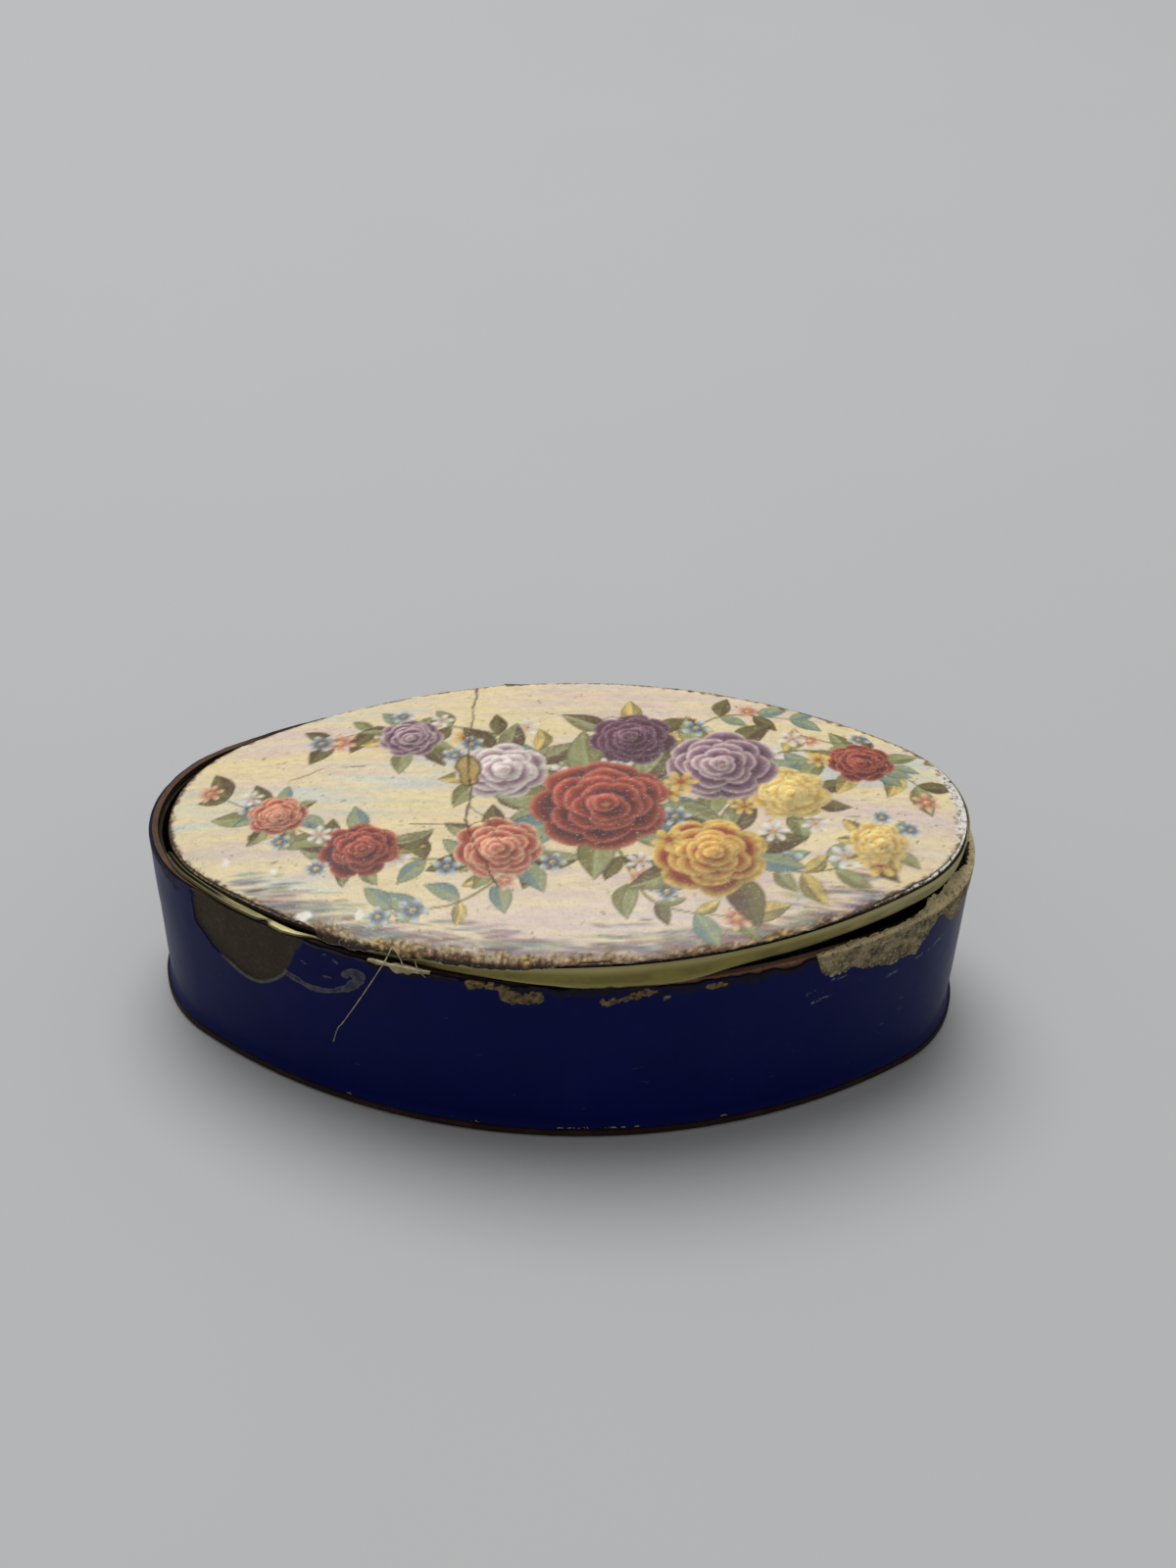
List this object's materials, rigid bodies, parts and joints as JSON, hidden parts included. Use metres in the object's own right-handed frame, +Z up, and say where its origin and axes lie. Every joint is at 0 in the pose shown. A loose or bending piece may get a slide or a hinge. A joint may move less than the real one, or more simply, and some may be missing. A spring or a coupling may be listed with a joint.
{
  "type": "oval enamel trinket box",
  "caption": "Oval copper trinket box with worn blue enamel, a domed painted enamel lid with a loose brass band, and a pinned hinge at the back.",
  "frame": {"origin": "centre of the flat underside that the box stands on", "axes": "+X along the length to the right, +Y to the hinged back, +Z up"},
  "size_m": [0.0904, 0.0509, 0.0271],
  "materials": {
    "blue_enamel": "glossy",
    "counter_enamel": "glossy",
    "white_enamel": "satin",
    "painted_enamel": "satin",
    "copper": "dark, oxidised",
    "brass": "tarnished",
    "steel_pin": "dull"
  },
  "bodies": {
    "body": {"base_enamel": "counter_enamel", "base_plate": "copper", "floor_enamel": "counter_enamel", "body_wall": "copper", "outer_enamel": "blue_enamel", "inner_enamel": "counter_enamel", "rim_collar": "brass", "body_hinge_leaf": "brass", "body_knuckle_1": "brass", "body_knuckle_2": "brass", "body_knuckle_3": "brass", "hinge_pin": "steel_pin"},
    "lid": {"lid_plate": "copper", "lid_ground": "white_enamel", "lid_painting": "painted_enamel", "lid_counter_enamel": "counter_enamel", "lid_bezel": "brass", "lid_hinge_leaf": "brass", "lid_knuckle_1": "brass", "lid_knuckle_2": "brass"}
  },
  "joints": [
    {"name": "lid_hinge", "type": "hinge", "parent": "body", "child": "lid", "pos_m": [0, 0.02492, 0.022], "axis": [-1, 0, 0], "range_deg": [0, 100]}
  ]
}
